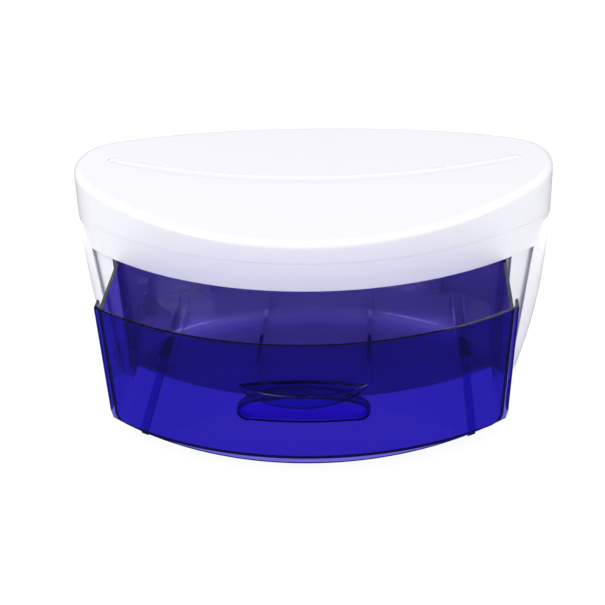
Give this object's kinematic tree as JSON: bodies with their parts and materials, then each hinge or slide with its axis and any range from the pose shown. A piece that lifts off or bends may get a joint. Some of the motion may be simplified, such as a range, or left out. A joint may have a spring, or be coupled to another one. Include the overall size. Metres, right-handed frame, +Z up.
{
  "type": "ultraviolet sterilizer box",
  "caption": "White moulded ultraviolet sterilizer box with a dished lens-shaped hood over a tinted pull-out drawer with a bowed front and a moulded visor handle.",
  "frame": {"origin": "on the table, under the middle of the whole object with its drawer open by 78 mm", "axes": "+Z up, -Y towards the user, the way the drawer pulls out, +X to the user's right"},
  "size_m": [0.38, 0.322, 0.1672],
  "materials": {
    "white_shell": "glossy moulded ABS, faintly cool white",
    "white_base": "satin moulded ABS",
    "rubber": "soft matt rubber",
    "blue_plastic": "clear cobalt-blue tinted polystyrene, polished",
    "reflector": "bright rolled aluminium",
    "lamp_glass": "clear quartz glass",
    "cap_metal": "drawn aluminium lamp cap",
    "brass": "nickel-brass pins",
    "white_fitting": "moulded polycarbonate",
    "ballast_case": "moulded flame-retardant case",
    "steel": "zinc-plated steel",
    "black_fitting": "black moulded nylon",
    "red_fitting": "red moulded acetal"
  },
  "bodies": {
    "root": {"top_cover": "white_shell", "main_housing": "white_shell", "base_plate": "white_base", "rubber_feet": "rubber", "reflector_plate": "reflector", "lamp_tube": "lamp_glass", "lamp_caps": "cap_metal", "lamp_pins": "brass", "lamp_holder_left": "white_fitting", "lamp_holder_right": "white_fitting", "ballast": "ballast_case", "ballast_screws": "steel", "reflector_screws": "steel", "cover_screws": "steel", "base_screws": "steel", "holder_screws": "steel", "switch_frame": "black_fitting", "power_inlet": "black_fitting", "inlet_contacts": "brass", "interlock_switch": "black_fitting", "interlock_screws": "steel"},
    "drawer": {"drawer_tray": "blue_plastic", "drawer_front": "blue_plastic"},
    "rocker_button": {"rocker": "black_fitting"},
    "plunger": {"interlock_plunger": "red_fitting"}
  },
  "joints": [
    {"name": "drawer_slide", "type": "slide", "parent": "root", "child": "drawer", "axis": [0, -1, 0], "range_m": [-0.078, 0.02]},
    {"name": "rocker_hinge", "type": "hinge", "parent": "root", "child": "rocker_button", "pos_m": [0.06164, 0.15195, 0.1215], "axis": [0, 0, 1], "range_deg": [0, 16]},
    {"name": "plunger_slide", "type": "slide", "parent": "root", "child": "plunger", "axis": [0, 1, 0], "range_m": [0, 0.0015], "stiffness_N_per_m": 200, "springref_m": -0.001}
  ]
}
